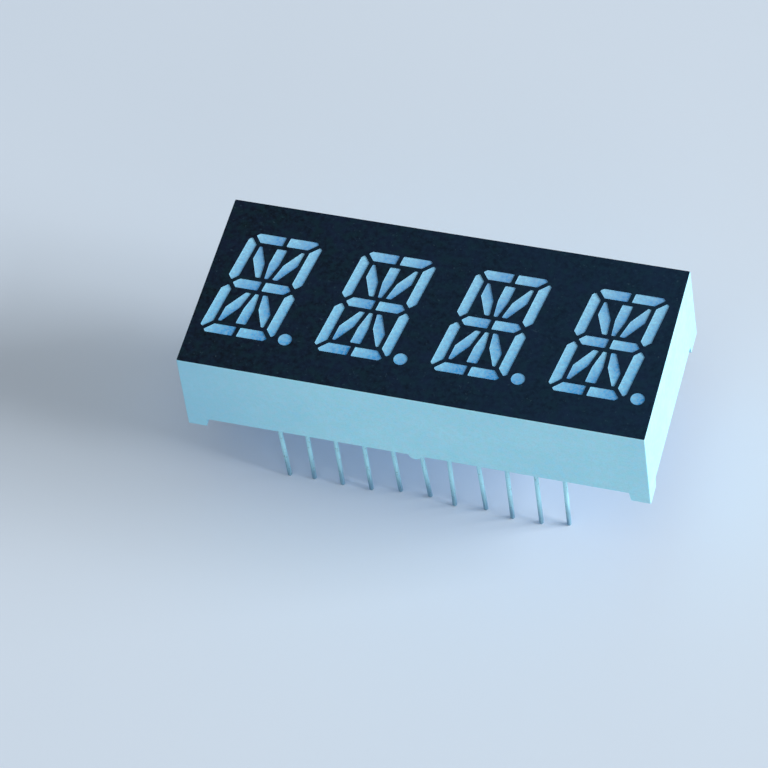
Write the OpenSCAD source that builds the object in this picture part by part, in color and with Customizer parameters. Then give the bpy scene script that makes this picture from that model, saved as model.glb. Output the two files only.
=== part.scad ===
// Four-digit sixteen-segment LED display, through-hole package.
// It stands face up on its pin tips: Z = 0 is the plane of the tips, X runs along the row of digits
// and Y points to the tops of the digits.

/* [Housing] */
// Width of the display face
face_w = 17.4; // [15.8:0.1:20]
// Height of the housing from the feet to the face
body_h = 9.25; // [9:0.05:12]
// How far each side wall leans out between the face and the feet
draft = 0.27; // [0.1:0.01:0.5]
// Radius of the upright corners
corner_r = 0.1; // [0.05:0.05:0.6]
// Bevel round the edge of the face
edge_bevel = 0.04; // [0.02:0.01:0.2]
// Thickness of the long walls at the rim
side_wall_t = 0.6; // [0.45:0.05:0.7]
// Thickness of the end walls at the rim
end_wall_t = 0.9; // [0.6:0.05:1]
// Clearance that the face leaves between two displays set end to end
stack_gap = 0.14; // [0.1:0.02:0.4]
// Inside radius of the pocket's corners
pocket_r = 0.5; // [0.3:0.1:0.9]

/* [Feet] */
// Height of the feet below the rim
foot_h = 1.05; // [0.6:0.05:1.4]
// Length of the two left feet along the long walls
foot_left_l = 1.6; // [1.4:0.1:3.5]
// Length of the two right feet along the long walls
foot_right_l = 1.6; // [1.4:0.1:3.5]
// Length of the two front feet along the end walls
foot_front_l = 1.7; // [1.4:0.1:3.5]
// Length of the two back feet along the end walls
foot_back_l = 2.1; // [1.4:0.1:3.5]
// How much shorter each foot is at its sole
foot_slope = 0.2; // [0.1:0.05:0.5]
// Radius of the half-round nub in the middle of each long wall
nub_r = 0.56; // [0.4:0.02:0.8]

/* [Digits] */
// Number of digits
digits = 4; // [3:1:6]
// Distance from digit to digit
digit_pitch = 10.16; // [9.8:0.01:12]
// Height of a digit
digit_h = 10.9; // [10:0.01:12]
// Width of a digit, measured across at one height
digit_w = 6.62; // [6.2:0.02:6.9]
// Shift of the row of digits towards the back edge
digit_shift = 0.08; // [0:0.01:0.2]
// Slant of the digits from upright, in degrees
slant = 9.1; // [4:0.1:12]
// Thickness of the level strokes
bar_w = 0.98; // [0.8:0.02:1.2]
// Width of the upright outer strokes
post_w = 0.92; // [0.8:0.02:1.1]
// Width of the upright inner strokes
core_w = 0.92; // [0.7:0.01:1.05]
// Width of an upright inner stroke at its tip
core_tip_w = 0.34; // [0.24:0.02:0.6]
// Width of the diagonal strokes, measured across them on the slanted digit
diagonal_w = 0.94; // [0.8:0.02:1.2]
// How far the diagonal strokes lie off the digit's middle, towards its upright core strokes
diagonal_shift = 0.04; // [0:0.01:0.08]
// Gap between neighbouring strokes
gap = 0.35; // [0.24:0.01:0.42]
// Cut across the outer corners of a digit
corner_cut = 0.74; // [0.5:0.02:1]
// Radius of the strokes' corners
stroke_r = 0.1; // [0.04:0.01:0.14]
// Diameter of the decimal point
dot_d = 1.2; // [1:0.02:1.4]
// Distance from a digit's right edge to the middle of its decimal point
dot_out = 1.02; // [0.9:0.02:1.1]
// Height of the decimal point's middle above the foot of the digit
dot_rise = 0.52; // [0.3:0.02:0.7]

/* [Light wells] */
// Depth of the wells in the reflector block
well_depth = 5.4; // [4.6:0.1:5.8]
// Depth of the straight part below the face
well_land = 0.8; // [0.4:0.1:2]
// Length of a well at its floor
well_floor_l = 1.6; // [1.5:0.05:2]

/* [Face coat and resin] */
// Thickness of the dark coat on the face
coat_t = 0.05; // [0.03:0.01:0.1]
// Resin film between the reflector block and the board
film_t = 0.3; // [0.24:0.02:0.5]
// Depth of the resin's surface inside the rim
resin_recess = 0.5; // [0.3:0.05:0.8]

/* [Board] */
// Thickness of the circuit board
board_t = 1; // [0.8:0.1:1.2]
// Space between the board's edge and the pocket
board_gap = 0.12; // [0.08:0.02:0.16]
// Diameter of the holes that let the resin flow through the board
flow_hole_d = 1; // [0.6:0.1:1.4]
// Side of a light-emitting chip
chip_w = 0.3; // [0.22:0.02:0.36]
// Height of a light-emitting chip
chip_h = 0.2; // [0.14:0.02:0.24]
// Thickness of the bond wires
wire_t = 0.03; // [0.02:0.005:0.04]
// Reach of a bond wire from the chip to its pad
wire_reach = 0.4; // [0.34:0.02:0.44]
// Height of the wire's loop above a straight line
wire_loop = 0.12; // [0.06:0.02:0.2]

/* [Pins] */
// Pins in each of the two rows
pins_per_row = 11; // [5:2:13]
// Distance from pin to pin along a row
pin_pitch = 2.54; // [2.5:0.01:2.6]
// Distance from a row of pins to the edge of the face
row_inset = 1.08; // [1:0.01:1.6]
// Diameter of a pin
pin_d = 0.4; // [0.36:0.02:0.54]
// Length of the pins below the feet
pin_out = 8; // [3:0.1:10]
// Height of the dome on a pin's tip
tip_h = 0.15; // [0.08:0.01:0.25]
// Length of a pin above the board
pin_head = 0.2; // [0.1:0.02:0.22]
// Clearance of a pin in its hole, which the solder fills
pin_clearance = 0.05; // [0.03:0.01:0.08]
// Width of the solder round a hole
solder_w = 0.18; // [0.1:0.02:0.24]
// Height of the solder cones
solder_h = 0.5; // [0.3:0.05:0.8]

/* [Hidden] */
$fn = 48;
// Sliver by which a cutting tool passes the surface that it cuts
over = 0.2;
// Thickness of the plates that the housing is stretched over
plate = 0.01;
// Steps in one bond wire's loop
loop_steps = 5;
// Facets in a full turn of the strokes' small corners
stroke_fn = 16;

// Levels, from the pin tips up
foot_z = pin_out;
rim_z = foot_z + foot_h;
coat_z = foot_z + body_h - coat_t;
well_z = coat_z - well_depth;
board_top = well_z - film_t;
board_z = board_top - board_t;
resin_z = rim_z + resin_recess;
bend_r = pin_d / 2 + 0.01;
bend_reach = 0.05;
bend_z = rim_z;

// Face, pocket and board
face_l = digits * digit_pitch - stack_gap;
rim_flare = draft * (body_h - foot_h) / body_h;
pocket_l = face_l + 2 * (rim_flare - end_wall_t);
pocket_w = face_w + 2 * (rim_flare - side_wall_t);
board_l = pocket_l - 2 * board_gap;
board_w = pocket_w - 2 * board_gap;
hole_r = pin_d / 2 + pin_clearance;
row_spacing = face_w - 2 * row_inset;

// Lines of an upright digit, measured from its middle
half_w = digit_w / 2;
half_h = digit_h / 2;
post_in = half_w - post_w;
post_mid = half_w - post_w / 2;
bar_in = half_h - bar_w;
bar_mid = half_h - bar_w / 2;
mid_h = bar_w / 2;
cell_x = post_in - gap;
cell_low = mid_h + gap;
cell_high = bar_in - gap;
cell_mid = (cell_low + cell_high) / 2;

// Mitres: half the gap, measured level and upright across the slanted cut
mitre = post_w / bar_w;
mitre_level = gap / 2 * norm([post_w, bar_w]) / bar_w;
mitre_upright = gap / 2 * norm([post_w, bar_w]) / post_w;

// The line x + y that cuts the outer corners of a digit
cut_sum = half_w + half_h - corner_cut;
bar_tip_y = (cut_sum - post_in + bar_in * mitre + mitre_level) / (1 + mitre);
post_tip_x = (cut_sum - bar_in + post_in / mitre + mitre_upright) / (1 + 1 / mitre);

// Direction of a diagonal stroke, from the middle of the digit to its outer corner
diagonal = [post_mid, bar_mid] / norm([post_mid, bar_mid]);

// Outlines of the five kinds of stroke, in the digit's upper right quarter
bar_pts = [
    [gap / 2, bar_in],
    [post_in - mitre_level, bar_in],
    [cut_sum - bar_tip_y, bar_tip_y],
    [half_w - corner_cut, half_h],
    [gap / 2, half_h]
];
post_pts = [
    [post_in, mitre_upright + post_w / 2 / mitre],
    [post_mid, mitre_upright],
    [half_w, mitre_upright + post_w / 2 / mitre],
    [half_w, half_h - corner_cut],
    [post_tip_x, cut_sum - post_tip_x],
    [post_in, bar_in - mitre_upright]
];
middle_pts = [
    [gap / 2, -mid_h],
    [post_mid - mitre_level - mid_h * mitre, -mid_h],
    [post_mid - mitre_level, 0],
    [post_mid - mitre_level - mid_h * mitre, mid_h],
    [gap / 2, mid_h]
];
core_pts = [
    [-core_tip_w / 2, cell_low],
    [core_tip_w / 2, cell_low],
    [core_w / 2, cell_mid],
    [core_w / 2, cell_high],
    [-core_w / 2, cell_high],
    [-core_w / 2, cell_mid]
];

// A diagonal stroke whose sides lie low and high off the diagonal through the digit's middle
function diagonal_pts(low, high) = [
    [core_tip_w / 2 + gap, cell_low],
    [(low + cell_low * diagonal[0]) / diagonal[1], cell_low],
    [cell_x, (cell_x * diagonal[1] - low) / diagonal[0]],
    [cell_x, cell_high],
    [(cell_high * diagonal[0] - high) / diagonal[1], cell_high],
    [core_w / 2 + gap, ((core_w / 2 + gap) * diagonal[1] + high) / diagonal[0]]
];

// A point of an upright digit, moved to the quarter that the signs name and slanted
function slanted(p, sign = [1, 1]) = [sign[0] * p[0] + sign[1] * p[1] * tan(slant), sign[1] * p[1]];
function place_all(pts, sign) = [for (p = pts) slanted(p, sign)];
function total(list, i = 0) = i < len(list) ? list[i] + total(list, i + 1) : list[0] * 0;
function middle_of(pts) = total(pts) / len(pts);

// A stroke is its outline and the direction of its length
function stroke(pts, run, sign) = [place_all(pts, sign), slanted(run, sign)];

// The slant thins a rising diagonal and widens a falling one, so the upright half width makes up for it
function half_across(sign) = diagonal_w / 2 * norm(slanted(diagonal, sign));
function diagonal_stroke(sign) = stroke(
    diagonal_pts(half_across(sign) - diagonal_shift, half_across(sign) + diagonal_shift),
    diagonal,
    sign
);

// The sixteen strokes of a digit
quarters = [[1, 1], [-1, 1], [-1, -1], [1, -1]];
strokes = concat(
    [for (sign = quarters) stroke(bar_pts, [1, 0], sign)],
    [for (sign = quarters) stroke(post_pts, [0, 1], sign)],
    [for (sign = quarters) diagonal_stroke(sign)],
    [for (side = [1, -1]) stroke(middle_pts, [1, 0], [side, 1])],
    [for (side = [1, -1]) stroke(core_pts, [0, 1], [1, side])]
);

// Middle of the decimal point
dot_place = slanted([half_w + dot_out, dot_rise - half_h]);

// Half a stroke's length, from its middle to its farther end
function half_length(s) = max([for (p = s[0]) abs((p - middle_of(s[0])) * s[1] / norm(s[1]))]);
function turn_of(s) = atan2(s[1][1], s[1][0]);

// Chip places of a digit, each with the direction of its bond wire; the last is the decimal point's
chip_places = concat(
    [for (s = strokes) [middle_of(s[0]), turn_of(s)]],
    [[dot_place, 180]]
);

// Pins are numbered along the front row from the left, and back along the other row
pin_count = 2 * pins_per_row;
function pin_at(n) = n <= pins_per_row
    ? [(n - (pins_per_row + 1) / 2) * pin_pitch, -row_spacing / 2]
    : [(pins_per_row + (pins_per_row + 1) / 2 - n) * pin_pitch, row_spacing / 2];

// How far handling has pushed the tips of the front row's inner pins off their grid points.
// The corner pins are straight, and the back row is bent the other way by a share of this.
tip_drift = [
    [-0.3, 0.1], [-0.2, 0], [-0.1, 0], [-0.05, 0.35], [0.1, 0.35],
    [-0.1, -0.1], [0.15, 0.05], [0.1, -0.35], [0.15, -0.35]
];
back_share = 0.6;
function is_corner(n) = n % pins_per_row <= 1;
function drift_of(n) = is_corner(n) ? [0, 0]
    : tip_drift[(n - 2) % pins_per_row % len(tip_drift)] * (n <= pins_per_row ? 1 : -back_share);

function pin_name(n) = str("pin_", n < 10 ? "0" : "", n);
function chips_name(i) = str("led_chips_digit_", i + 1);
function wires_name(i) = str("bond_wires_digit_", i + 1);

// Rectangle with rounded corners
module rounded_plate(length, width, r) {
    offset(r = r) square([length - 2 * r, width - 2 * r], center = true);
}

// One stroke seen from above
module stroke_shape(s) {
    offset(r = stroke_r, $fn = stroke_fn) offset(delta = -stroke_r) polygon(s[0]);
}

// Runs its children at each digit's middle
module at_digits() {
    for (i = [0:digits - 1]) at_digit(i) children();
}

module at_digit(i) {
    translate([(i - (digits - 1) / 2) * digit_pitch, digit_shift, 0]) children();
}

// A well's side view: straight below the face, then closing in to the floor round the chip
module well_profile(half) {
    polygon([
        [-well_floor_l / 2, -over], [well_floor_l / 2, -over],
        [well_floor_l / 2, 0], [half, well_depth - well_land],
        [half, well_depth + over], [-half, well_depth + over],
        [-half, well_depth - well_land], [-well_floor_l / 2, 0]
    ]);
}

// The light well of one stroke; below and above are what it adds past its floor and the face
module light_well(s, extra) {
    intersection() {
        translate([0, 0, well_z - extra])
            linear_extrude(well_depth + 2 * extra) stroke_shape(s);
        translate([middle_of(s[0])[0], middle_of(s[0])[1], well_z])
            rotate([0, 0, turn_of(s)])
            rotate([90, 0, 0])
            linear_extrude(4 * bar_w, center = true) well_profile(half_length(s));
    }
}

// All seventeen light wells of a digit
module digit_wells(extra) {
    for (s = strokes) light_well(s, extra);
    translate([dot_place[0], dot_place[1], well_z - extra])
        cylinder(d = dot_d, h = well_depth + 2 * extra);
}

// The drafted block that the housing is cut from
module housing_block() {
    hull() {
        translate([0, 0, foot_z])
            linear_extrude(plate)
            rounded_plate(face_l + 2 * draft, face_w + 2 * draft, corner_r, $fn = 32);
        translate([0, 0, coat_z - edge_bevel - plate])
            linear_extrude(plate) rounded_plate(face_l, face_w, corner_r, $fn = 32);
        translate([0, 0, coat_z - plate])
            linear_extrude(plate) face_outline();
    }
}

module face_outline() {
    offset(delta = -edge_bevel) rounded_plate(face_l, face_w, corner_r, $fn = 32);
}

// Opening under the rim between two feet, seen square on; start and end are its ends at the rim
module foot_gap(start, end) {
    polygon([
        [start, foot_h], [start - foot_slope, -over],
        [end + foot_slope, -over], [end, foot_h]
    ]);
}

// Cuts along the long walls, which leave the feet and the half-round nubs
module long_wall_gaps() {
    translate([0, 0, foot_z])
        rotate([90, 0, 0])
        linear_extrude(face_w + 4 * draft, center = true)
        difference() {
            foot_gap(foot_left_l - face_l / 2, face_l / 2 - foot_right_l);
            translate([0, foot_h]) circle(nub_r);
        }
}

module end_wall_gaps() {
    translate([0, 0, foot_z])
        rotate([90, 0, 90])
        linear_extrude(face_l + 4 * draft, center = true)
        foot_gap(foot_front_l - face_w / 2, face_w / 2 - foot_back_l);
}

// Moulded housing: face block with the light wells, walls, feet and nubs
module reflector_housing() {
    color([0.78, 0.9, 0.94])
    difference() {
        housing_block();
        translate([0, 0, foot_z - over])
            linear_extrude(well_z - foot_z + over) rounded_plate(pocket_l, pocket_w, pocket_r);
        long_wall_gaps();
        end_wall_gaps();
        at_digits() digit_wells(over / 2);
    }
}

// Dark coat printed on the face, open over every stroke
module face_coat() {
    color([0.08, 0.13, 0.18])
    translate([0, 0, coat_z])
        linear_extrude(coat_t)
        difference() {
            face_outline();
            at_digits() {
                for (s = strokes) stroke_shape(s);
                translate(dot_place) circle(d = dot_d);
            }
        }
}

// Milky resin, poured in from behind: one casting that fills the wells and seals the board
module resin_casting() {
    color([0.55, 0.75, 0.87])
    difference() {
        union() {
            translate([0, 0, resin_z])
                linear_extrude(well_z - resin_z) rounded_plate(pocket_l, pocket_w, pocket_r);
            at_digits() digit_wells(0);
        }
        board_shape();
        for (n = [1:pin_count]) pin_stem(n);
        for (n = [1:pin_count]) solder_joint(n);
        for (i = [0:digits - 1]) {
            digit_chips(i);
            digit_wires(i);
        }
    }
}

// Holes that let the resin through, two midway between each digit and the next, clear of the chips
module flow_holes() {
    for (i = [0:digits - 2], side = [-1, 1])
        at_digit(i)
        translate(slanted([digit_pitch / 2, side * half_h / 2])) circle(d = flow_hole_d);
}

module board_shape() {
    translate([0, 0, board_z])
        linear_extrude(board_t)
        difference() {
            rounded_plate(board_l, board_w, pocket_r - board_gap);
            flow_holes();
            for (n = [1:pin_count]) translate(pin_at(n)) circle(hole_r);
        }
}

module circuit_board() {
    color([0.75, 0.68, 0.42]) board_shape();
}

// Solder of one pin: the ring in its hole and the cone under the board
module solder_joint(n) {
    translate([pin_at(n)[0], pin_at(n)[1], 0])
        rotate_extrude()
        polygon([
            [pin_d / 2, board_top], [pin_d / 2, board_z - solder_h],
            [pin_d / 2 + solder_w / 4, board_z - solder_h / 2],
            [hole_r + solder_w, board_z], [hole_r, board_z], [hole_r, board_top]
        ]);
}

module solder_joints() {
    color([0.66, 0.68, 0.68])
    for (n = [1:pin_count]) solder_joint(n);
}

// Chips of one digit, one under each stroke and one under the decimal point
module digit_chips(i) {
    at_digit(i)
    for (place = chip_places)
        translate([place[0][0], place[0][1], board_top])
        rotate([0, 0, place[1]])
        translate([-chip_w / 2, -chip_w / 2, 0])
        cube([chip_w, chip_w, chip_h]);
}

// Side view of a bond wire: a flat on the chip, a loop, and a flat on the board's pad
function loop_point(t, lift) = [
    wire_t + t * (wire_reach - 2 * wire_t),
    chip_h * (1 - t) + 4 * wire_loop * t * (1 - t) + lift
];
module wire_profile() {
    polygon(concat(
        [[-wire_t, chip_h]],
        [for (k = [0:loop_steps]) loop_point(k / loop_steps, 0)],
        [[wire_reach + wire_t, 0], [wire_reach + wire_t, wire_t]],
        [for (k = [loop_steps:-1:0]) loop_point(k / loop_steps, wire_t)],
        [[-wire_t, chip_h + wire_t]]
    ));
}

module digit_wires(i) {
    at_digit(i)
    for (place = chip_places)
        translate([place[0][0], place[0][1], board_top])
        rotate([0, 0, place[1]])
        rotate([90, 0, 0])
        linear_extrude(wire_t, center = true) wire_profile();
}

module led_chips(i) {
    color([0.85, 0.75, 0.3]) digit_chips(i);
}

module bond_wires(i) {
    color([0.9, 0.75, 0.35]) digit_wires(i);
}

// Straight part of a pin, from just above its bend up through the resin and the board
module pin_stem(n) {
    translate([pin_at(n)[0], pin_at(n)[1], bend_z + bend_reach])
        cylinder(d = pin_d, h = board_top + pin_head - bend_z - bend_reach);
}

// Free part of a pin, from just below its bend to its domed tip
module pin_leg(n) {
    drift = drift_of(n);
    leg_l = norm([drift[0], drift[1], bend_z]);
    translate([pin_at(n)[0], pin_at(n)[1], bend_z])
        rotate([0, 0, atan2(drift[1], drift[0])])
        rotate([0, 180 - atan2(norm(drift), bend_z), 0])
        rotate_extrude()
        polygon([
            [0, bend_reach], [pin_d / 2, bend_reach], [pin_d / 2, leg_l - tip_h],
            [pin_d * 0.38, leg_l - tip_h / 3], [pin_d * 0.2, leg_l], [0, leg_l]
        ]);
}

// The knuckle of a bend is a hair wider than the pin
module pin_bend(n) {
    translate([pin_at(n)[0], pin_at(n)[1], bend_z]) sphere(bend_r);
}

module pin(n) {
    color([0.72, 0.76, 0.75])
    union() {
        pin_leg(n);
        pin_bend(n);
        pin_stem(n);
    }
}

reflector_housing();
face_coat();
resin_casting();
circuit_board();
solder_joints();
for (i = [0:digits - 1]) led_chips(i);
for (i = [0:digits - 1]) bond_wires(i);
for (n = [1:pin_count]) pin(n);
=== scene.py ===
# %% [markdown]
# # A four-digit sixteen-segment display
# The part is a small through-hole component: a white plastic housing with a dark printed face,
# milky resin in the shape of the segments, and two rows of tinned pins. Its solids come from a CAD
# model that is loaded as a fixed frame. This lesson dresses them: it adds the forms that casting
# leaves, then gives each piece a finish, and sets up a plain studio.

import math

import bmesh
import bpy
from mathutils import Matrix, Vector


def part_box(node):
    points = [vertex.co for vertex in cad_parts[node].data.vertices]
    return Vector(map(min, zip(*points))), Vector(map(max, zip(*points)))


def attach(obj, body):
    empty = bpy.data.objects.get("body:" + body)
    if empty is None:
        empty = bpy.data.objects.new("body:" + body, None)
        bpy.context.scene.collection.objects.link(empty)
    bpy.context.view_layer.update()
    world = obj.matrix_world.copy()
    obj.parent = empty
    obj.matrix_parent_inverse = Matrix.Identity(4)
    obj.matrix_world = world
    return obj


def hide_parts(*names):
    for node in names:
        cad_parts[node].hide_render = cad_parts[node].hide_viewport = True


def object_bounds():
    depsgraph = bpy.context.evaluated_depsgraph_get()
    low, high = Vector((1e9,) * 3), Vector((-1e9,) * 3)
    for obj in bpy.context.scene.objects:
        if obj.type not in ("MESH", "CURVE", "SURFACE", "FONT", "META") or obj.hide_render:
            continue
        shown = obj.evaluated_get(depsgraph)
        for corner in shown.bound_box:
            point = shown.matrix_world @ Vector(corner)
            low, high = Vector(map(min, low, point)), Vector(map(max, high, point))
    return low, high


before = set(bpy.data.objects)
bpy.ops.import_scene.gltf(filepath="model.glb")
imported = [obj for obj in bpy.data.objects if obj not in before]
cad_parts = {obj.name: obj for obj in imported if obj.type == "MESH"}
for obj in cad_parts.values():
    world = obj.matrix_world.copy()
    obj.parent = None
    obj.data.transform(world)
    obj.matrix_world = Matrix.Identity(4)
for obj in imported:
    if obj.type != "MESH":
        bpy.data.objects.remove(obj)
cad_low, cad_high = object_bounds()
MM = 0.001
print("nodes:", len(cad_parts))
print("CAD box in mm:", [round(side / MM, 2) for side in cad_high - cad_low])

# %% [markdown]
# ## The camera
# The camera comes first, because every choice after it is judged through it. A long lens from a
# quarter of a metre away keeps the long edges nearly parallel. The view is given as a maker would
# say it: which point is looked at, from which side, from how high, and how far the camera is
# rolled. A chain of rotations turns that into the camera's own matrix.

# %% Camera
LOOK_AT = Vector((-2.231, -7.568, 17.24)) * MM
DISTANCE = 267.99 * MM
HEADING = math.radians(23.881)
LOOK_DOWN = math.radians(55.176)
ROLL = math.radians(-10.294)
LENS = 150.73


def aimed_camera(name):
    """A camera that looks at LOOK_AT from its heading and height, rolled about its own axis."""
    data = bpy.data.cameras.new(name)
    data.lens = LENS
    data.clip_start = DISTANCE / 50
    camera = bpy.data.objects.new(name, data)
    turn = Matrix.Rotation(HEADING, 4, "Z") @ Matrix.Rotation(math.pi / 2 - LOOK_DOWN, 4, "X")
    roll = Matrix.Rotation(ROLL, 4, "Z")
    back = Matrix.Translation((0, 0, DISTANCE))
    camera.matrix_world = Matrix.Translation(LOOK_AT) @ turn @ roll @ back
    bpy.context.scene.collection.objects.link(camera)
    return camera


scene = bpy.context.scene
scene.camera = aimed_camera("studio_camera")
scene.view_settings.view_transform = "Standard"
print("camera at", [round(c / MM, 1) for c in scene.camera.matrix_world.translation])

# %% [markdown]
# ## Working copies
# A CAD node's mesh is loose triangles, and it has to stay as it is. To add a form to a piece, we
# copy its mesh, merge the corners that coincide, and let the copy stand in for the node. Flat
# faces that came in as many triangles are joined again, so that an inset or a bevel sees the
# whole face. `bmesh` is the natural tool for this, because its operators return what they made.
# The copy is worked on in millimetres and scaled back at the end: in metres these details would
# be so small that the operators' own rounding would spoil them. So the lengths in the cells that
# shape the resin are millimetres, too.

# %% Copies of the CAD pieces
MERGE = 0.0004
SAME_HEIGHT = 0.002
LEVEL_NORMAL = 0.999


def opened(node_name):
    """The merged mesh of a CAD node in millimetres, ready for bmesh operators."""
    form = bmesh.new()
    form.from_mesh(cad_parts[node_name].data)
    bmesh.ops.scale(form, vec=(1 / MM,) * 3, verts=form.verts)
    bmesh.ops.remove_doubles(form, verts=form.verts, dist=MERGE)
    for layer in list(form.loops.layers.uv):
        form.loops.layers.uv.remove(layer)
    for face in form.faces:
        face.material_index = 0
    return form


def flat_faces(form, height, up):
    """Faces that lie level at this height and look up (1) or down (-1)."""
    form.normal_update()
    return [
        face for face in form.faces
        if face.normal.z * up > LEVEL_NORMAL
        and abs(face.calc_center_median().z - height) < SAME_HEIGHT
    ]


def finish_piece(form, name, node_name):
    """Makes the piece of a form: it rides on the part and stands for its node."""
    bmesh.ops.scale(form, vec=(MM,) * 3, verts=form.verts)
    mesh = bpy.data.meshes.new(name)
    form.to_mesh(mesh)
    form.free()
    piece = bpy.data.objects.new(name, mesh)
    bpy.context.scene.collection.objects.link(piece)
    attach(piece, "root")
    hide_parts(node_name)
    print(name, len(mesh.polygons), "faces")


# %% [markdown]
# ## The segments' surfaces
# The wells of the housing are filled with one casting of milky resin. Resin shrinks as it cures
# and clings to the walls of its well, so every segment has a shallow dish in it, not a flat
# window. The dish could be sculpted, but here it is three insets of each face: each one goes in
# by a little and down by less, which draws the curve of a meniscus round any outline. Corners
# that lie closer than an inset's step are merged first, or the inset outline would cross itself.
# They are gathered in a dict, because a dict keeps its order and a set doesn't, and the order
# decides which corner of a pair stays. So every run gives the same piece.

# %% Dished segments
CORNER_MERGE = 0.025

casting = opened("resin_casting")
top_z = max(vertex.co.z for vertex in casting.verts)
bottom_z = min(vertex.co.z for vertex in casting.verts)
rims = dict.fromkeys(vertex for face in flat_faces(casting, top_z, 1) for vertex in face.verts)
bmesh.ops.remove_doubles(casting, verts=list(rims), dist=CORNER_MERGE)
bmesh.ops.dissolve_faces(casting, faces=flat_faces(casting, top_z, 1), use_verts=False)
segments = flat_faces(casting, top_z, 1)
print("segments and points:", len(segments), "at", round(top_z, 3), "mm")

# %% [markdown]
# ## A map across every segment
# Light enters the milky resin from one side, so each segment is paler at its left edge than at its
# right one. To paint that on, the shader has to know how far across its own segment a point lies.
# A UV map can carry this: u runs across a segment from its left to its right edge, and v runs up
# the segment from its lower to its upper edge. The direction across comes from the outline itself.
# A level bar is measured along its length and every other segment square to its longest edge.

# %% Lay out the segments
SLANT = math.tan(math.radians(9.1))
# Where each family of segment starts and ends on the painted run from light to shade.
SPANS = {"bar": (0.1, 1.06), "post": (-0.06, 0.66), "diagonal": (0.1, 0.96), "point": (0.4, 0.9)}
ROUND_CORNERS = 40
BAR_RISE = 0.2
POST_LEAN = 0.05


def upright(point):
    """A point of the face with the digits' slant taken out."""
    return Vector((point.x - point.y * SLANT, point.y))


def longest_edge(face):
    """The direction of a face's longest edge, with the slant taken out."""
    edge = max(face.edges, key=lambda e: e.calc_length())
    return (upright(edge.verts[1].co) - upright(edge.verts[0].co)).normalized()


def kind_of(face):
    """Which family of segment a face belongs to, and the direction across it."""
    if len(face.verts) > ROUND_CORNERS:
        return "point", Vector((1, 0))
    along = longest_edge(face)
    if abs(along.y) < BAR_RISE:
        return "bar", Vector((1, 0))
    across = Vector((along.y, -along.x)) * (1 if along.y > 0 else -1)
    return ("post" if abs(along.x) < POST_LEAN else "diagonal"), across


def layout_of(face):
    """A segment's family, its direction across, and its limits across and upwards."""
    kind, across = kind_of(face)
    reach = [upright(v.co).dot(across) for v in face.verts]
    rise = [v.co.y for v in face.verts]
    return kind, across, min(reach), max(reach), min(rise), max(rise)


layouts = [layout_of(face) for face in segments]
print({kind: sum(layout[0] == kind for layout in layouts) for kind in SPANS})

# %% [markdown]
# ## Sinking the dishes
# An inset leaves the face that it works on a little smaller and returns the ring of faces round
# it. The map is written on all of them, from the layout that was measured on the flat face, so
# that it runs on without a seam. The rings are shaded smooth and the middle stays flat, because a
# meniscus curves only near its wall.

# %% Sink the dishes and write the map
DISH_STEPS = [(0.015, 0.006), (0.015, 0.004), (0.02, 0.003)]
segment_map = casting.loops.layers.uv.new("segment_map")
CENTRE = (0.5, 0.5)


def dish(form, face):
    """Insets one face in steps that flatten out; returns every face of the dish."""
    made = [face]
    for inward, down in DISH_STEPS:
        step = bmesh.ops.inset_individual(
            form, faces=[face], thickness=inward, depth=-down, use_even_offset=True
        )
        made += step["faces"]
    return made


def map_face(face, layout):
    """Writes the map on one face, from the layout of the segment that it belongs to."""
    kind, across, left, right, foot, head = layout
    start, end = SPANS[kind]
    for loop in face.loops:
        share = (upright(loop.vert.co).dot(across) - left) / (right - left)
        height = (loop.vert.co.y - foot) / (head - foot)
        loop[segment_map].uv = (start + (end - start) * share, height)


for face in casting.faces:
    for loop in face.loops:
        loop[segment_map].uv = CENTRE
for segment, layout in zip(segments, layouts):
    for face in dish(casting, segment):
        map_face(face, layout)
        face.smooth = face is not segment
print("dish depth in mm:", round(sum(down for _, down in DISH_STEPS), 3))

# %% [markdown]
# ## The poured side
# The resin was poured in from behind, with the display face down, and its free surface shows
# between the pins. It creeps up the walls and up every pin, so the level stretch lies deeper than
# its edges. `inset_region` treats all the triangles of that surface as one area, which insets the
# outer outline and the rim of each pin hole in the same step.

# %% Meniscus on the poured side
CREEP_STEPS = [(0.05, 0.035), (0.06, 0.02), (0.07, 0.01)]
poured = flat_faces(casting, bottom_z, -1)
for inward, deeper in CREEP_STEPS:
    step = bmesh.ops.inset_region(
        casting, faces=poured, thickness=inward, depth=-deeper,
        use_even_offset=True, use_boundary=True
    )
    for face in step["faces"]:
        face.smooth = True
for face in poured:
    face.smooth = True
finish_piece(casting, "resin_casting_dished", "resin_casting")

# %% [markdown]
# ## Recipes for finishes
# A material here is a small network that starts at the Principled shader. `Recipe` holds one in
# the making: it sets the plain values on the shader's own sockets and offers the Object
# coordinates that all the patterns read. They are in metres, so a noise of scale 1000 has features
# about a millimetre wide. Colours are given as they look on screen, and `paint` turns them into
# the linear light that shaders work with.

# %% Start a material
def paint(red, green, blue):
    """A colour as it looks on screen, 0 to 255, turned into the linear light that shaders use."""
    screen = [channel / 255 for channel in (red, green, blue)]
    light = [((c + 0.055) / 1.055) ** 2.4 if c > 0.04045 else c / 12.92 for c in screen]
    return (*light, 1.0)


class Recipe:
    """One material in the making: its node tree, its shader and its coordinates."""

    def __init__(self, name, roughness, specular=0.5, metallic=0.0):
        self.material = bpy.data.materials.new(name)
        self.material.use_nodes = True
        self.tree = self.material.node_tree
        self.shader = self.tree.nodes["Principled BSDF"]
        self.shader.inputs["Roughness"].default_value = roughness
        self.shader.inputs["Specular IOR Level"].default_value = specular
        self.shader.inputs["Metallic"].default_value = metallic
        self.coords = self.tree.nodes.new("ShaderNodeTexCoord").outputs["Object"]

    def node(self, kind, **settings):
        made = self.tree.nodes.new(kind)
        for name, value in settings.items():
            setattr(made, name, value)
        return made

    def link(self, output, socket):
        self.tree.links.new(output, socket)


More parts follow.
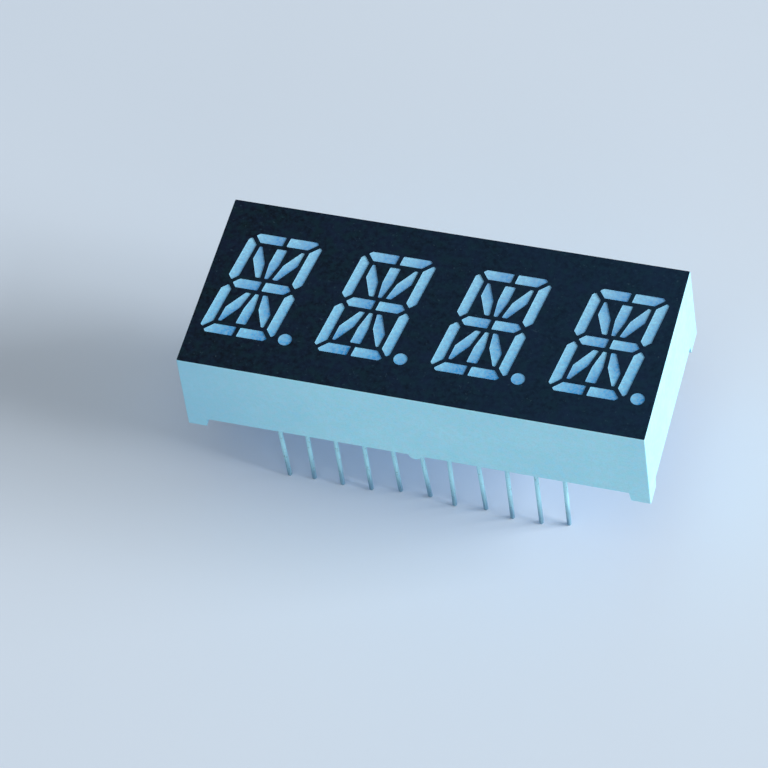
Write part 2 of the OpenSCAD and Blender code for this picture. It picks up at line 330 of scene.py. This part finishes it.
print("middle grey on screen, as light:", round(paint(128, 128, 128)[0], 3))

# %% [markdown]
# ## Patterns
# A noise gives a surface its unevenness. This could be painted by hand, but a noise has no seams
# and no end, and it stays sharp from close by. `span` picks out the part of a pattern that counts:
# what lies below its range becomes one number, what lies above it another, and the rest runs
# between the two. The middle of a noise is where most of its values lie, so `BROAD` covers that.

# %% Noises and ranges
BROAD = (0.3, 0.7)


def noise(recipe, scale, detail=3.0, roughness=0.5, stretch=(1, 1, 1)):
    """A soft random pattern from 0 to 1, drawn out along any axis whose stretch is below 1."""
    mapping = recipe.node("ShaderNodeMapping")
    mapping.inputs["Scale"].default_value = stretch
    recipe.link(recipe.coords, mapping.inputs["Vector"])
    pattern = recipe.node("ShaderNodeTexNoise")
    pattern.inputs["Scale"].default_value = scale
    pattern.inputs["Detail"].default_value = detail
    pattern.inputs["Roughness"].default_value = roughness
    recipe.link(mapping.outputs["Vector"], pattern.inputs["Vector"])
    return pattern.outputs["Fac"]


def span(recipe, value, low, high, to_low=0.0, to_high=1.0, smooth=False):
    """Maps a value's range onto another, clamped at both ends."""
    curve = "SMOOTHSTEP" if smooth else "LINEAR"
    node = recipe.node("ShaderNodeMapRange", interpolation_type=curve)
    limits = {"From Min": low, "From Max": high, "To Min": to_low, "To Max": to_high}
    for name, number in limits.items():
        node.inputs[name].default_value = number
    recipe.link(value, node.inputs["Value"])
    return node.outputs["Result"]


# %% [markdown]
# ## Veils of colour
# A real surface seldom has one colour, so a finish here is a base with a few thin veils over it. A
# veil is a blend of two colours whose share follows a pattern, up to a strength that keeps it
# subtle. Several faint veils look more natural than one strong one.

# %% Blends and veils
def blend(recipe, share, first, second):
    """Blends two colours by a value; each is a plain colour or another node's output."""
    node = recipe.node("ShaderNodeMix", data_type="RGBA")
    sockets = {socket.identifier: socket for socket in node.inputs}
    recipe.link(share, sockets["Factor_Float"])
    for name, value in (("A_Color", first), ("B_Color", second)):
        if isinstance(value, tuple):
            sockets[name].default_value = value
        else:
            recipe.link(value, sockets[name])
    return {socket.identifier: socket for socket in node.outputs}["Result_Color"]


def veil(recipe, shade, pattern, reach, strength, colour):
    """Lays a colour over a shade where a pattern is high, up to this strength."""
    return blend(recipe, span(recipe, pattern, *reach, 0.0, strength), shade, colour)


# %% [markdown]
# ## From the patterns to the piece
# The patterns that colour a surface also make it rougher or smoother and raise small bumps, so
# that a spot differs in all the ways in which a real one would. Bumps are only for what is finer
# than a hair: any form that would show in the outline is modelled.

# %% Colour, roughness, bumps and dressing
def set_colour(recipe, shade):
    recipe.link(shade, recipe.shader.inputs["Base Color"])


def set_roughness(recipe, pattern, low, high):
    recipe.link(span(recipe, pattern, *BROAD, low, high), recipe.shader.inputs["Roughness"])


def set_bumps(recipe, pattern, depth, strength):
    """Turns a pattern into bumps this deep, in millimetres."""
    node = recipe.node("ShaderNodeBump")
    node.inputs["Strength"].default_value = strength
    node.inputs["Distance"].default_value = depth * MM
    recipe.link(pattern, node.inputs["Height"])
    recipe.link(node.outputs["Normal"], recipe.shader.inputs["Normal"])


def dress(material, *names):
    """Puts a material on CAD nodes or pieces."""
    for name in names:
        piece = bpy.data.objects[name]
        piece.data.materials.clear()
        piece.data.materials.append(material)
    print(material.name, "on", len(names), "piece" if len(names) == 1 else "pieces")


# %% [markdown]
# ## Milky resin
# The resin is a clear epoxy with a white diffuser in it. Under the studio's light it looks pale
# blue, and on top of that each segment carries painted light and shade: it is painted palest at its
# upper left edge and darkest at its lower right, for the light that enters the resin from one side.
# The colour follows the segment map, and two noises add the clouding of the diffuser and the fine
# grain that hides a polished look. The far side of the face is painted a touch paler than the near
# one, a painted pool of light. Subsurface scattering would be closer to the physics, but it is lost
# in an export, so the light and shade inside the resin are painted.

# %% Resin finish
# Painted light and shade: each segment is blended from a painted lit colour to a painted shaded
# one.
SEGMENT_PAINTED_LIT = paint(142, 221, 255)
SEGMENT_PAINTED_SHADE = paint(6, 138, 210)
SEGMENT_GRAIN = paint(136, 178, 212)
SEGMENT_FAR_PAINTED_LIGHT = paint(235, 248, 255)
CLOUD_DRIFT = 0.28
FOOT_PAINTED_SHADE = 0.09
FAR_ZONE = (-6 * MM, 6 * MM)
X, Y, Z = range(3)


def parts(recipe, vector):
    """The three parts of a vector as separate values."""
    split = recipe.node("ShaderNodeSeparateXYZ")
    recipe.link(vector, split.inputs[0])
    return split.outputs


def add(recipe, first, second):
    """The sum of two values, each another node's output."""
    node = recipe.node("ShaderNodeMath", operation="ADD")
    recipe.link(first, node.inputs[0])
    recipe.link(second, node.inputs[1])
    return node.outputs[0]


def resin_finish():
    recipe = Recipe("milky_resin", roughness=0.42, specular=0.2)
    place = recipe.node("ShaderNodeUVMap", uv_map="segment_map")
    across, height, _ = parts(recipe, place.outputs["UV"])
    cloud = noise(recipe, 2600, detail=6, roughness=0.65)
    grain = noise(recipe, 4600, detail=3, roughness=0.6)
    drift = span(recipe, cloud, *BROAD, -CLOUD_DRIFT, CLOUD_DRIFT)
    # Painted shade at each segment's lower edge, painted light at its upper edge.
    lower = span(recipe, height, 0.0, 1.0, FOOT_PAINTED_SHADE, -FOOT_PAINTED_SHADE)
    # How far a point lies between the painted light and the painted shade of its segment.
    depth = add(recipe, add(recipe, across, drift), lower)
    shade = blend(recipe, depth, SEGMENT_PAINTED_LIT, SEGMENT_PAINTED_SHADE)
    # Painted light: the far side of the face is painted paler.
    shade = veil(recipe, shade, parts(recipe, recipe.coords)[Y], FAR_ZONE, 0.1, SEGMENT_FAR_PAINTED_LIGHT)
    shade = veil(recipe, shade, grain, (0.4, 0.6), 0.6, SEGMENT_GRAIN)
    set_colour(recipe, shade)
    set_roughness(recipe, cloud, 0.34, 0.5)
    set_bumps(recipe, grain, 0.004, 0.5)
    return recipe.material


dress(resin_finish(), "resin_casting_dished")

# %% [markdown]
# ## Moulded housing
# The housing is polycarbonate filled with a white pigment, so that it reflects the light of the
# chips. It leaves the mould with a fine spark-eroded texture and a little clouding where the melt
# fronts met. The clouding has three sizes here, with a warm and a cool tint, because one noise
# alone reads as a pattern, and a few specks of dust lie on top. A slow blend along the body paints
# the left end a shade darker and greyer: this is painted shade, for the weaker light at that end.

# %% Housing finish
HOUSING_WHITE = paint(172, 237, 255)
HOUSING_CLOUD = paint(156, 229, 252)
HOUSING_WARM = paint(182, 229, 246)
HOUSING_COOL = paint(154, 230, 242)
HOUSING_GRAIN = paint(142, 196, 216)
HOUSING_DUST = paint(110, 160, 185)
HOUSING_END_PAINTED_SHADE = paint(135, 198, 227)
PAINTED_SHADE_ZONE = 15 * MM


def housing_finish():
    recipe = Recipe("housing_plastic", roughness=0.4, specular=0.5)
    cloud = noise(recipe, 260, detail=5, roughness=0.6)
    mottle = noise(recipe, 2400, detail=4)
    tint = noise(recipe, 1500, detail=3)
    grain = noise(recipe, 8000, detail=2)
    dust = noise(recipe, 700, detail=6, roughness=0.75)
    shade = veil(recipe, HOUSING_WHITE, cloud, BROAD, 1.0, HOUSING_CLOUD)
    shade = veil(recipe, shade, mottle, (0.4, 0.6), 0.6, HOUSING_WARM)
    shade = veil(recipe, shade, tint, (0.42, 0.6), 0.4, HOUSING_COOL)
    shade = veil(recipe, shade, grain, (0.45, 0.65), 0.2, HOUSING_GRAIN)
    shade = veil(recipe, shade, dust, (0.68, 0.76), 0.3, HOUSING_DUST)
    along = parts(recipe, recipe.coords)[X]
    # Painted shade: the left end is painted darker and greyer.
    end = span(recipe, along, cad_low.x, cad_low.x + PAINTED_SHADE_ZONE, 0.6, 0.0)
    set_colour(recipe, blend(recipe, end, shade, HOUSING_END_PAINTED_SHADE))
    set_roughness(recipe, mottle, 0.36, 0.46)
    set_bumps(recipe, add(recipe, grain, mottle), 0.006, 0.5)
    return recipe.material


dress(housing_finish(), "reflector_housing")

# %% [markdown]
# ## Printed face
# The face carries a matte black-blue ink, which keeps stray light dark next to the lit segments.
# Seen close it isn't even: the ink pooled into a fine mottle and holds a little dust. The right end
# is painted lighter, painted light for the stronger light that falls there. Its gloss is kept very
# low on the shader itself, because a dark colour shows every bit of reflection.

# %% Ink finish
INK = paint(0, 4, 12)
INK_POOL = paint(18, 34, 50)
INK_BLUE = paint(20, 32, 58)
INK_GREEN = paint(12, 38, 42)
INK_DUST = paint(60, 84, 96)
INK_PAINTED_LIGHT = paint(24, 56, 84)


def ink_finish():
    recipe = Recipe("face_ink", roughness=0.7, specular=0.06)
    pool = noise(recipe, 2200, detail=5, roughness=0.65)
    patch = noise(recipe, 420, detail=4)
    tint = noise(recipe, 1100, detail=3)
    dust = noise(recipe, 3800, detail=3)
    along = parts(recipe, recipe.coords)[X]
    shade = veil(recipe, INK, pool, (0.35, 0.65), 1.0, INK_POOL)
    shade = veil(recipe, shade, patch, (0.4, 0.65), 0.4, INK_BLUE)
    shade = veil(recipe, shade, tint, (0.45, 0.65), 0.45, INK_GREEN)
    shade = veil(recipe, shade, dust, (0.66, 0.74), 0.35, INK_DUST)
    # Painted light: the right end is painted lighter.
    shade = veil(recipe, shade, along, (cad_low.x, cad_high.x), 0.28, INK_PAINTED_LIGHT)
    set_colour(recipe, shade)
    set_roughness(recipe, pool, 0.62, 0.8)
    set_bumps(recipe, pool, 0.006, 0.6)
    return recipe.material


dress(ink_finish(), "face_coat")

# %% [markdown]
# ## Tinned pins
# The pins are drawn wire with a dip of tin. The tin is pale and satin near the housing and darker
# and duller towards the tips, with dark specks of flux. Height above the tips decides between the
# two, made ragged by a noise drawn out along the pin, which also gives the marks of the drawing
# die.

# %% Pin finish
TIN = paint(175, 233, 246)
TIN_DULL = paint(104, 146, 172)
TIN_MARK = paint(156, 202, 212)
FLUX = paint(70, 84, 72)
TIP_ZONE = 5.2 * MM
TIP_EDGE = 0.9 * MM


def tin_finish():
    recipe = Recipe("tinned_pin", roughness=0.42, metallic=0.2)
    height = parts(recipe, recipe.coords)[Z]
    streak = noise(recipe, 5000, detail=3, stretch=(1, 1, 0.12))
    specks = noise(recipe, 3400, detail=4, roughness=0.6)
    ragged = add(recipe, height, span(recipe, streak, 0.2, 0.8, -TIP_EDGE, TIP_EDGE))
    # Darker and duller towards the tips.
    tip_share = span(recipe, ragged, 0.0, TIP_ZONE, 1.0, 0.0, smooth=True)
    shade = blend(recipe, tip_share, TIN, TIN_DULL)
    shade = veil(recipe, shade, streak, (0.4, 0.8), 0.4, TIN_MARK)
    shade = veil(recipe, shade, specks, (0.6, 0.7), 0.6, FLUX)
    set_colour(recipe, shade)
    set_roughness(recipe, streak, 0.34, 0.6)
    set_bumps(recipe, streak, 0.006, 0.6)
    return recipe.material


dress(tin_finish(), *[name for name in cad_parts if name.startswith("pin_")])

# %% [markdown]
# ## What the resin hides
# The circuit board, its solder, the chips and their bond wires sit inside the casting. They don't
# show in the whole part, but the model comes apart, so they get proper finishes too: a laminate
# with its glass weave, satin solder, chips with a metal pad on top, and fine gold wire. The weave
# of the laminate is a fine checker under a cloud, which is enough at a size that no eye resolves.

# %% Laminate finish
GLASS_PALE = paint(196, 186, 120)
GLASS_DARK = paint(178, 170, 104)
LAMINATE_CLOUD = paint(160, 152, 88)


def laminate_finish():
    recipe = Recipe("board_laminate", roughness=0.55)
    weave = recipe.node("ShaderNodeTexChecker")
    weave.inputs["Scale"].default_value = 4000
    weave.inputs["Color1"].default_value = GLASS_PALE
    weave.inputs["Color2"].default_value = GLASS_DARK
    recipe.link(recipe.coords, weave.inputs["Vector"])
    cloud = noise(recipe, 500, detail=4)
    set_colour(recipe, veil(recipe, weave.outputs["Color"], cloud, BROAD, 0.5, LAMINATE_CLOUD))
    set_bumps(recipe, add(recipe, weave.outputs["Fac"], cloud), 0.01, 0.4)
    return recipe.material


dress(laminate_finish(), "circuit_board")

# %% [markdown]
# ## Solder and gold
# Both are bare metals, so one recipe makes the two: a bright and a dull tone of the metal, in soft
# clouds that are a little rougher where they are duller. For a metal the base colour is the colour
# of its reflections, so pale tones do most of the work.

# %% Metal finishes
SOLDER = paint(190, 196, 198)
SOLDER_DULL = paint(150, 158, 160)
GOLD = paint(244, 206, 122)
GOLD_DULL = paint(214, 170, 86)


def metal_finish(name, bright, dull, roughness, scale):
    recipe = Recipe(name, roughness=roughness, metallic=1.0)
    cloud = noise(recipe, scale, detail=4)
    grain = noise(recipe, scale * 6, detail=2)
    set_colour(recipe, veil(recipe, bright, cloud, BROAD, 1.0, dull))
    set_roughness(recipe, cloud, roughness * 0.8, roughness * 1.3)
    set_bumps(recipe, add(recipe, cloud, grain), 0.004, 0.5)
    return recipe.material


dress(metal_finish("solder", SOLDER, SOLDER_DULL, 0.4, 1500), "solder_joints")
gold = metal_finish("gold_wire", GOLD, GOLD_DULL, 0.25, 6000)
dress(gold, *[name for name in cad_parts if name.startswith("bond_wires")])

# %% [markdown]
# ## Chips
# A chip is a block of crystal with a thin metal pad on top, where its wire is bonded. The pad could
# be a piece of its own, but all the chips stand on one board and are equally high, so the height
# alone tells the pad from the crystal.

# %% Chip finish
CRYSTAL = (paint(150, 104, 52), paint(196, 146, 70))
PAD = (paint(226, 196, 128), paint(240, 222, 170))
CHIP_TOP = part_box("led_chips_digit_1")[1].z
PAD_EDGE = (CHIP_TOP - 0.03 * MM, CHIP_TOP - 0.01 * MM)


def chip_finish():
    recipe = Recipe("led_chip", roughness=0.3)
    crystal = blend(recipe, noise(recipe, 3000), *CRYSTAL)
    metal = blend(recipe, noise(recipe, 9000), *PAD)
    height = parts(recipe, recipe.coords)[Z]
    set_colour(recipe, veil(recipe, crystal, height, PAD_EDGE, 1.0, metal))
    set_bumps(recipe, noise(recipe, 12000), 0.002, 0.4)
    return recipe.material


dress(chip_finish(), *[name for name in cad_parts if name.startswith("led_chips")])

# %% [markdown]
# ## The studio
# The display stands on its pins on a plain pale floor. The floor is one large face, wide enough to
# fill the view, with a faint cloud in its colour so that it doesn't look like a cut-out.

# %% Floor
FLOOR_SIZE = 3.0
FLOOR_PALE = paint(216, 229, 243)
FLOOR_CLOUD = paint(213, 227, 242)


def floor_finish():
    recipe = Recipe("studio_floor", roughness=0.9, specular=0.1)
    cloud = noise(recipe, 12, detail=3)
    set_colour(recipe, veil(recipe, FLOOR_PALE, cloud, BROAD, 1.0, FLOOR_CLOUD))
    return recipe.material


ground = bmesh.new()
bmesh.ops.create_grid(ground, x_segments=1, y_segments=1, size=FLOOR_SIZE / 2)
floor_mesh = bpy.data.meshes.new("floor")
ground.to_mesh(floor_mesh)
ground.free()
floor = bpy.data.objects.new("floor", floor_mesh)
scene.collection.objects.link(floor)
floor.data.materials.append(floor_finish())
print("floor side in m:", FLOOR_SIZE)

# %% [markdown]
# ## The sky
# A sky of even grey fills the shadows with soft, neutral light. It could be one plain colour, but
# then a white background would also flood the part with light. So it is white for the camera and
# in reflections and glass, and it lights matte sides with less.

# %% Sky
SKY_LEVEL = 0.3
WHITE = (1, 1, 1, 1)


def studio_sky():
    """An even grey sky for light, and a white one for the camera and for reflections."""
    world = bpy.data.worlds.new("studio_sky")
    scene.world = world
    world.use_nodes = True
    nodes, links = world.node_tree.nodes, world.node_tree.links
    seen = nodes.new("ShaderNodeBackground")
    seen.inputs["Strength"].default_value = 1.0
    seen.inputs["Color"].default_value = WHITE
    lit = nodes["Background"]
    lit.inputs["Color"].default_value = WHITE
    lit.inputs["Strength"].default_value = SKY_LEVEL
    ray = nodes.new("ShaderNodeLightPath")
    share = ray.outputs["Is Camera Ray"]
    for other in ("Is Glossy Ray", "Is Transmission Ray"):
        either = nodes.new("ShaderNodeMath")
        either.operation = "MAXIMUM"
        links.new(share, either.inputs[0])
        links.new(ray.outputs[other], either.inputs[1])
        share = either.outputs[0]
    mixed = nodes.new("ShaderNodeMixShader")
    links.new(share, mixed.inputs["Fac"])
    links.new(lit.outputs[0], mixed.inputs[1])
    links.new(seen.outputs[0], mixed.inputs[2])
    links.new(mixed.outputs[0], nodes["World Output"].inputs["Surface"])


studio_sky()
print("sky level:", SKY_LEVEL)

# %% [markdown]
# ## The lamps
# A wide lamp on the right makes the end wall the brightest side, and two weak ones, overhead and in
# front, keep the other sides apart. A lamp's power is worked out from the level that it should
# give, where level 1 lights a white card that faces it to plain white. The camera doesn't see the
# lamps themselves, so none shows behind the part as a white square.

# %% Lamps
def lamp(name, towards, distance, width, level):
    """A square soft lamp in this direction from the part, as bright as its level asks."""
    data = bpy.data.lights.new(name, "AREA")
    data.shape = "SQUARE"
    data.size = width
    data.energy = level * (math.pi * distance) ** 2
    made = bpy.data.objects.new(name, data)
    side = Vector(towards).normalized()
    made.location = (cad_low + cad_high) / 2 + side * distance
    made.rotation_euler = side.to_track_quat("Z", "Y").to_euler()
    made.visible_camera = False
    scene.collection.objects.link(made)
    print(name, "power", round(data.energy, 2), "W")


lamp("side_lamp", (1.0, 0.1, 0.38), distance=2.4, width=1.4, level=1.45)
lamp("top_lamp", (0.1, -0.35, 1.0), distance=0.7, width=0.4, level=0.11)
lamp("front_lamp", (0.6, -1.0, 0.3), distance=0.5, width=0.3, level=0.14)
